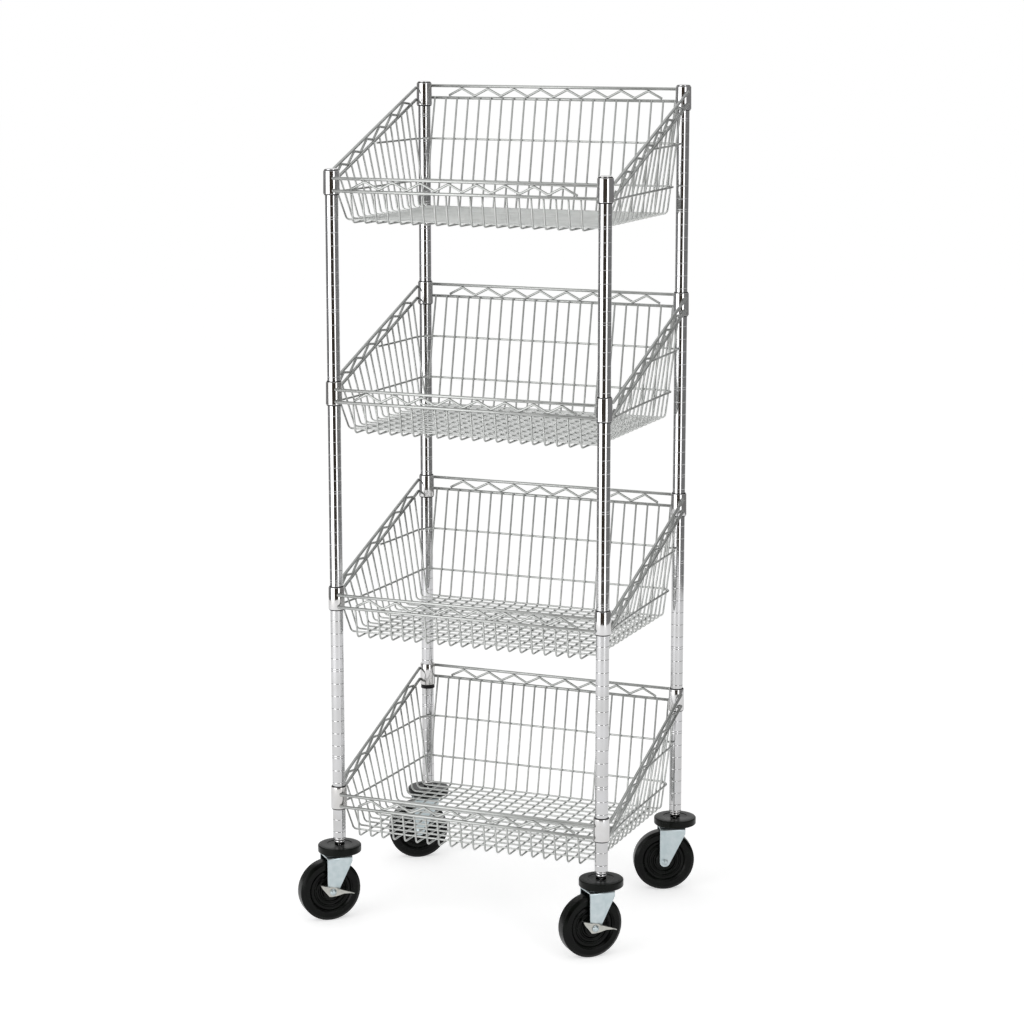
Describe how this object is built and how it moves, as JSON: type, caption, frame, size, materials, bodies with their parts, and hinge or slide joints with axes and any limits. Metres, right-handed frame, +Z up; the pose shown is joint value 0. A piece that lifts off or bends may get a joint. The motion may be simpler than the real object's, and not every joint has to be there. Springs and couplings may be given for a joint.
{
  "type": "bakery bread rack",
  "caption": "Rolling rack of sloping wire baskets on round posts, for showing bread, with swivel casters and foot brakes.",
  "frame": {"origin": "on the floor, midway between the four posts", "axes": "+X to the right seen from the front, +Y to the back, +Z up along the posts"},
  "size_m": [0.6799, 0.5443, 1.6496],
  "materials": {
    "plated_wire": "bright nickel-chrome plate over welded wire",
    "plated_collar": "bright plate",
    "plated_post": "bright plate on steel tube",
    "sleeve_plastic": "black moulded plastic",
    "cap_plastic": "grey moulded plug",
    "bright_steel": "plated threaded parts",
    "zinc_steel": "zinc-plated pressed sheet",
    "lever_steel": "zinc-plated pressed sheet, worn",
    "bumper_rubber": "black rubber",
    "wheel_rubber": "black moulded rubber, slight sheen",
    "bush_plastic": "plain white plastic"
  },
  "bodies": {
    "rack": {"basket_1_collars": "plated_collar", "basket_1_sleeves": "sleeve_plastic", "basket_1_rim_rails": "plated_wire", "basket_1_rim_zigzags": "plated_wire", "basket_1_long_wires": "plated_wire", "basket_1_cross_wires": "plated_wire", "basket_1_ring_wires": "plated_wire", "basket_1_corner_wires": "plated_wire", "basket_2_collars": "plated_collar", "basket_2_sleeves": "sleeve_plastic", "basket_2_rim_rails": "plated_wire", "basket_2_rim_zigzags": "plated_wire", "basket_2_long_wires": "plated_wire", "basket_2_cross_wires": "plated_wire", "basket_2_ring_wires": "plated_wire", "basket_2_corner_wires": "plated_wire", "basket_3_collars": "plated_collar", "basket_3_sleeves": "sleeve_plastic", "basket_3_rim_rails": "plated_wire", "basket_3_rim_zigzags": "plated_wire", "basket_3_long_wires": "plated_wire", "basket_3_cross_wires": "plated_wire", "basket_3_ring_wires": "plated_wire", "basket_3_corner_wires": "plated_wire", "basket_4_collars": "plated_collar", "basket_4_sleeves": "sleeve_plastic", "basket_4_rim_rails": "plated_wire", "basket_4_rim_zigzags": "plated_wire", "basket_4_long_wires": "plated_wire", "basket_4_cross_wires": "plated_wire", "basket_4_ring_wires": "plated_wire", "basket_4_corner_wires": "plated_wire", "front_left_post": "plated_post", "front_right_post": "plated_post", "rear_right_post": "plated_post", "rear_left_post": "plated_post", "post_caps": "cap_plastic", "post_inserts": "bright_steel", "caster_stems": "bright_steel", "swivel_races": "zinc_steel", "caster_bumpers": "bumper_rubber"},
    "front_left_swivel": {"front_left_fork": "zinc_steel", "front_left_axle": "bright_steel"},
    "front_left_rolling": {"front_left_wheel": "wheel_rubber", "front_left_bush": "bush_plastic"},
    "front_left_brake": {"front_left_brake_lever": "lever_steel"},
    "front_right_swivel": {"front_right_fork": "zinc_steel", "front_right_axle": "bright_steel"},
    "front_right_rolling": {"front_right_wheel": "wheel_rubber", "front_right_bush": "bush_plastic"},
    "front_right_brake": {"front_right_brake_lever": "lever_steel"},
    "rear_right_swivel": {"rear_right_fork": "zinc_steel", "rear_right_axle": "bright_steel"},
    "rear_right_rolling": {"rear_right_wheel": "wheel_rubber", "rear_right_bush": "bush_plastic"},
    "rear_left_swivel": {"rear_left_fork": "zinc_steel", "rear_left_axle": "bright_steel"},
    "rear_left_rolling": {"rear_left_wheel": "wheel_rubber", "rear_left_bush": "bush_plastic"}
  },
  "joints": [
    {"name": "front_left_swivel_turn", "type": "hinge", "parent": "rack", "child": "front_left_swivel", "pos_m": [-0.2795, -0.216, 0.1335], "axis": [0, 0, 1], "continuous": true},
    {"name": "front_left_wheel_spin", "type": "hinge", "parent": "front_left_swivel", "child": "front_left_rolling", "pos_m": [-0.29576, -0.23226, 0.0625], "axis": [0.7071, -0.7071, 0], "continuous": true},
    {"name": "front_left_brake_rock", "type": "hinge", "parent": "front_left_swivel", "child": "front_left_brake", "pos_m": [-0.29576, -0.23226, 0.0625], "axis": [0.7071, -0.7071, 0], "range_deg": [0, 28]},
    {"name": "front_right_swivel_turn", "type": "hinge", "parent": "rack", "child": "front_right_swivel", "pos_m": [0.2795, -0.216, 0.1335], "axis": [0, 0, 1], "continuous": true},
    {"name": "front_right_wheel_spin", "type": "hinge", "parent": "front_right_swivel", "child": "front_right_rolling", "pos_m": [0.26352, -0.23255, 0.0625], "axis": [0.7193, -0.6947, 0], "continuous": true},
    {"name": "front_right_brake_rock", "type": "hinge", "parent": "front_right_swivel", "child": "front_right_brake", "pos_m": [0.26352, -0.23255, 0.0625], "axis": [0.7193, -0.6947, 0], "range_deg": [0, 28]},
    {"name": "rear_right_swivel_turn", "type": "hinge", "parent": "rack", "child": "rear_right_swivel", "pos_m": [0.2795, 0.216, 0.1335], "axis": [0, 0, 1], "continuous": true},
    {"name": "rear_right_wheel_spin", "type": "hinge", "parent": "rear_right_swivel", "child": "rear_right_rolling", "pos_m": [0.25901, 0.20556, 0.0625], "axis": [0.454, -0.891, 0], "continuous": true},
    {"name": "rear_left_swivel_turn", "type": "hinge", "parent": "rack", "child": "rear_left_swivel", "pos_m": [-0.2795, 0.216, 0.1335], "axis": [0, 0, 1], "continuous": true},
    {"name": "rear_left_wheel_spin", "type": "hinge", "parent": "rear_left_swivel", "child": "rear_left_rolling", "pos_m": [-0.29879, 0.20347, 0.0625], "axis": [0.5446, -0.8387, 0], "continuous": true}
  ]
}
